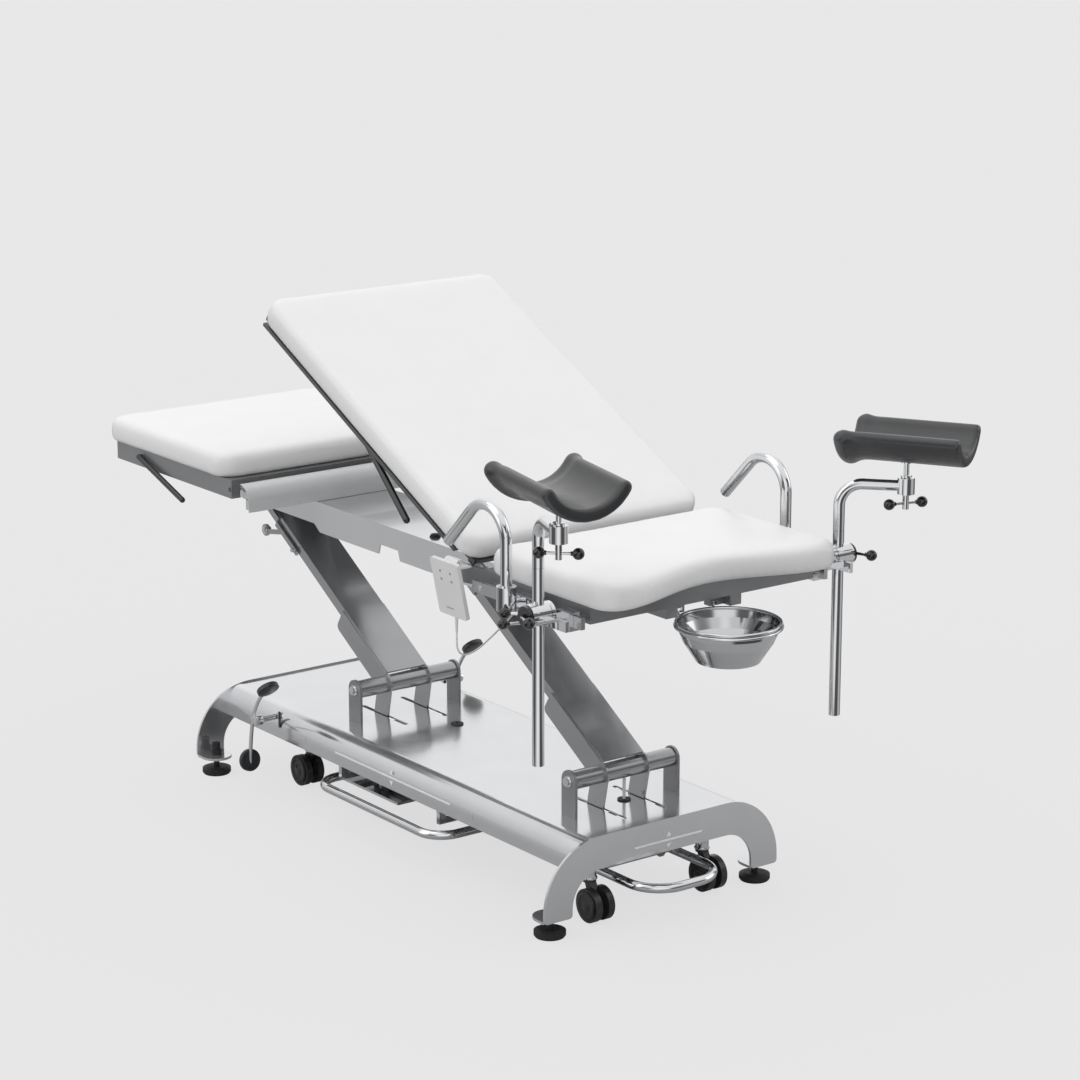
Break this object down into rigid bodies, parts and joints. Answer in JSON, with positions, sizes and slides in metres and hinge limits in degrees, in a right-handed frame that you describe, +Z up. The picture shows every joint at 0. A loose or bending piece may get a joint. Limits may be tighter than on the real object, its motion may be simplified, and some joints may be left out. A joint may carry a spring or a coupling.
{
  "type": "gynaecological examination table",
  "caption": "Height-adjustable examination table on a parallelogram lift, with tilting backrest and head section, leg crutches on jointed poles, hand grips and a steel bowl.",
  "frame": {"origin": "centre of the base, on the floor", "axes": "+X along the table towards the seat and the leg holders, +Z up, -Y the side that carries the handset"},
  "size_m": [2.2292, 1.2375, 1.2339],
  "materials": {
    "grey_paint": "satin powder coat",
    "mid_grey_paint": "satin powder coat",
    "dark_frame": "satin powder coat",
    "light_grey": "satin powder coat",
    "black_rubber": "matt",
    "chrome": "polished",
    "rail_steel": "brushed",
    "polished_steel": "polished",
    "black_plastic": "gloss",
    "castor_tread": "matt",
    "white_upholstery": "smooth vinyl",
    "soft_grey": "moulded skin",
    "handset_plastic": "matt"
  },
  "bodies": {
    "base": {"base_shell": "grey_paint", "end_arches": "grey_paint", "levelling_feet": "black_rubber", "pivot_uprights": "mid_grey_paint", "pivot_bolts": "chrome", "plate_grommets": "black_plastic", "actuator_housing": "dark_frame", "arm_cable": "handset_plastic"},
    "drive_link": {"drive_link": "mid_grey_paint"},
    "front_arm": {"front_arm": "grey_paint"},
    "rear_arm": {"rear_arm": "grey_paint"},
    "castor_frame": {"castor_frame": "mid_grey_paint"},
    "castor_fork_1": {"castor_fork_1": "black_plastic"},
    "castor_fork_2": {"castor_fork_2": "black_plastic"},
    "castor_fork_3": {"castor_fork_3": "black_plastic"},
    "castor_fork_4": {"castor_fork_4": "black_plastic"},
    "castor_wheels_1": {"castor_wheels_1": "castor_tread"},
    "castor_wheels_2": {"castor_wheels_2": "castor_tread"},
    "castor_wheels_3": {"castor_wheels_3": "castor_tread"},
    "castor_wheels_4": {"castor_wheels_4": "castor_tread"},
    "castor_pedal": {"castor_pedal": "black_plastic"},
    "side_foot_bar": {"side_foot_bar": "chrome"},
    "end_foot_bar": {"end_foot_bar": "chrome"},
    "top_frame": {"top_frame": "grey_paint", "roll_cover": "light_grey", "seat_frame": "mid_grey_paint", "side_rails": "rail_steel", "seat_cushion": "white_upholstery", "handset": "handset_plastic", "handset_cord": "handset_plastic"},
    "backrest": {"backrest_frame": "dark_frame", "backrest_cushion": "white_upholstery"},
    "backrest_lever": {"backrest_lever": "black_plastic"},
    "head": {"head_frame": "dark_frame", "head_cushion": "white_upholstery"},
    "head_lever": {"head_lever": "black_plastic"},
    "bowl": {"bowl_carrier": "chrome", "bowl": "polished_steel"},
    "near_clamp": {"near_clamp": "chrome"},
    "near_clamp_lever": {"near_clamp_lever": "black_plastic"},
    "near_pole": {"near_pole": "chrome"},
    "near_swing_arm": {"near_swing_arm": "chrome"},
    "near_tbar": {"near_tbar": "black_plastic"},
    "near_crutch": {"near_crutch_stem": "chrome", "near_crutch_pad": "soft_grey"},
    "near_grip_clamp": {"near_grip_clamp": "chrome"},
    "near_grip": {"near_grip": "chrome"},
    "far_clamp": {"far_clamp": "chrome"},
    "far_clamp_lever": {"far_clamp_lever": "black_plastic"},
    "far_pole": {"far_pole": "chrome"},
    "far_swing_arm": {"far_swing_arm": "chrome"},
    "far_tbar": {"far_tbar": "black_plastic"},
    "far_crutch": {"far_crutch_stem": "chrome", "far_crutch_pad": "soft_grey"},
    "far_grip_clamp": {"far_grip_clamp": "chrome"},
    "far_grip": {"far_grip": "chrome"}
  },
  "joints": [
    {"name": "lift", "type": "hinge", "parent": "base", "child": "front_arm", "pos_m": [0.562, 0, 0.286], "axis": [0, 1, 0], "range_deg": [-30, 15]},
    {"name": "rear_arm_pivot", "type": "hinge", "parent": "base", "child": "rear_arm", "pos_m": [-0.275, 0, 0.286], "axis": [0, 1, 0], "range_deg": [-30.2, 15.2]},
    {"name": "drive_slide", "type": "slide", "parent": "base", "child": "drive_link", "axis": [1, 0, 0], "range_m": [-0.0306, 0.0609]},
    {"name": "top_frame_pivot", "type": "hinge", "parent": "front_arm", "child": "top_frame", "pos_m": [-0.0045, 0, 0.63999], "axis": [0, 1, 0], "range_deg": [-15.2, 30.2]},
    {"name": "castor_lift", "type": "slide", "parent": "base", "child": "castor_frame", "axis": [0, 0, 1], "range_m": [-0.015, 0]},
    {"name": "castor_pedal_turn", "type": "hinge", "parent": "base", "child": "castor_pedal", "pos_m": [-0.472, 0, 0.19], "axis": [0, 1, 0], "range_deg": [0, 25]},
    {"name": "castor_swivel_1", "type": "hinge", "parent": "castor_frame", "child": "castor_fork_1", "pos_m": [0.653, -0.158, 0.1], "axis": [0, 0, 1], "continuous": true},
    {"name": "castor_spin_1", "type": "hinge", "parent": "castor_fork_1", "child": "castor_wheels_1", "pos_m": [0.675, -0.158, 0.041], "axis": [0, 1, 0], "continuous": true},
    {"name": "castor_swivel_2", "type": "hinge", "parent": "castor_frame", "child": "castor_fork_2", "pos_m": [0.653, 0.158, 0.1], "axis": [0, 0, 1], "continuous": true},
    {"name": "castor_spin_2", "type": "hinge", "parent": "castor_fork_2", "child": "castor_wheels_2", "pos_m": [0.675, 0.158, 0.041], "axis": [0, 1, 0], "continuous": true},
    {"name": "castor_swivel_3", "type": "hinge", "parent": "castor_frame", "child": "castor_fork_3", "pos_m": [-0.448, -0.158, 0.1], "axis": [0, 0, 1], "continuous": true},
    {"name": "castor_spin_3", "type": "hinge", "parent": "castor_fork_3", "child": "castor_wheels_3", "pos_m": [-0.47, -0.158, 0.041], "axis": [0, 1, 0], "continuous": true},
    {"name": "castor_swivel_4", "type": "hinge", "parent": "castor_frame", "child": "castor_fork_4", "pos_m": [-0.448, 0.158, 0.1], "axis": [0, 0, 1], "continuous": true},
    {"name": "castor_spin_4", "type": "hinge", "parent": "castor_fork_4", "child": "castor_wheels_4", "pos_m": [-0.47, 0.158, 0.041], "axis": [0, 1, 0], "continuous": true},
    {"name": "side_foot_bar_rock", "type": "hinge", "parent": "base", "child": "side_foot_bar", "pos_m": [0, 0, 0.091], "axis": [1, 0, 0], "range_deg": [-2.5, 2.5], "stiffness_Nm_per_rad": 120},
    {"name": "end_foot_bar_rock", "type": "hinge", "parent": "base", "child": "end_foot_bar", "pos_m": [0.6, 0, 0.091], "axis": [0, 1, 0], "range_deg": [-2.5, 2.5], "stiffness_Nm_per_rad": 120, "springref_deg": -1.72},
    {"name": "backrest_tilt", "type": "hinge", "parent": "top_frame", "child": "backrest", "pos_m": [0.44, 0, 0.75799], "axis": [0, 1, 0], "range_deg": [-26.8, 33.2]},
    {"name": "backrest_release", "type": "hinge", "parent": "backrest", "child": "backrest_lever", "pos_m": [0.0321, 0, 0.96627], "axis": [0, 1, 0], "range_deg": [-6, 0], "stiffness_Nm_per_rad": 4},
    {"name": "head_tilt", "type": "hinge", "parent": "top_frame", "child": "head", "pos_m": [-0.556, 0, 0.74499], "axis": [0, 1, 0], "range_deg": [0, 40]},
    {"name": "head_release", "type": "hinge", "parent": "head", "child": "head_lever", "pos_m": [-0.9725, 0, 0.74999], "axis": [0, 1, 0], "range_deg": [-6, 0], "stiffness_Nm_per_rad": 4},
    {"name": "bowl_slide", "type": "slide", "parent": "top_frame", "child": "bowl", "axis": [1, 0, 0], "range_m": [-0.14, 0.05]},
    {"name": "near_clamp_slide", "type": "slide", "parent": "top_frame", "child": "near_clamp", "axis": [1, 0, 0], "range_m": [-0.03, 0]},
    {"name": "near_clamp_lever_turn", "type": "hinge", "parent": "near_clamp", "child": "near_clamp_lever", "pos_m": [0.802, -0.436, 0.76199], "axis": [0, 1, 0], "range_deg": [-90, 90]},
    {"name": "near_pole_lift", "type": "slide", "parent": "near_clamp", "child": "near_pole", "axis": [0, 0, 1], "range_m": [-0.06, 0.2]},
    {"name": "near_swing", "type": "hinge", "parent": "near_pole", "child": "near_swing_arm", "pos_m": [0.802, -0.408, 0.86], "axis": [0, 0, 1], "range_deg": [-50, 70]},
    {"name": "near_tbar_turn", "type": "hinge", "parent": "near_swing_arm", "child": "near_tbar", "pos_m": [0.93594, -0.45808, 0.965], "axis": [0, 0, 1], "continuous": true},
    {"name": "near_crutch_turn", "type": "hinge", "parent": "near_swing_arm", "child": "near_crutch", "pos_m": [0.93594, -0.45808, 0.965], "axis": [0, 0, 1], "range_deg": [-90, 90]},
    {"name": "near_grip_slide", "type": "slide", "parent": "top_frame", "child": "near_grip_clamp", "axis": [1, 0, 0], "range_m": [-0.1, 0.03]},
    {"name": "near_grip_lift", "type": "slide", "parent": "near_grip_clamp", "child": "near_grip", "axis": [0, 0, 1], "range_m": [0, 0.04]},
    {"name": "far_clamp_slide", "type": "slide", "parent": "top_frame", "child": "far_clamp", "axis": [1, 0, 0], "range_m": [-0.03, 0]},
    {"name": "far_clamp_lever_turn", "type": "hinge", "parent": "far_clamp", "child": "far_clamp_lever", "pos_m": [0.802, 0.436, 0.75699], "axis": [0, 1, 0], "range_deg": [-90, 90]},
    {"name": "far_pole_lift", "type": "slide", "parent": "far_clamp", "child": "far_pole", "axis": [0, 0, 1], "range_m": [-0.02, 0.2]},
    {"name": "far_swing", "type": "hinge", "parent": "far_pole", "child": "far_swing_arm", "pos_m": [0.802, 0.408, 0.814], "axis": [0, 0, 1], "range_deg": [-70, 50]},
    {"name": "far_tbar_turn", "type": "hinge", "parent": "far_swing_arm", "child": "far_tbar", "pos_m": [0.90658, 0.50553, 0.919], "axis": [0, 0, 1], "continuous": true},
    {"name": "far_crutch_turn", "type": "hinge", "parent": "far_swing_arm", "child": "far_crutch", "pos_m": [0.90658, 0.50553, 0.919], "axis": [0, 0, 1], "range_deg": [-90, 90]},
    {"name": "far_grip_slide", "type": "slide", "parent": "top_frame", "child": "far_grip_clamp", "axis": [1, 0, 0], "range_m": [-0.1, 0.03]},
    {"name": "far_grip_lift", "type": "slide", "parent": "far_grip_clamp", "child": "far_grip", "axis": [0, 0, 1], "range_m": [0, 0.04]}
  ],
  "couplings": [
    {"joint": "top_frame_pivot", "follows": "lift", "ratio": -1},
    {"joint": "rear_arm_pivot", "follows": "lift", "ratio": 1},
    {"joint": "drive_slide", "follows": "lift", "m_per_rad": -0.116},
    {"joint": "castor_pedal_turn", "follows": "castor_lift", "rad_per_m": -29}
  ]
}
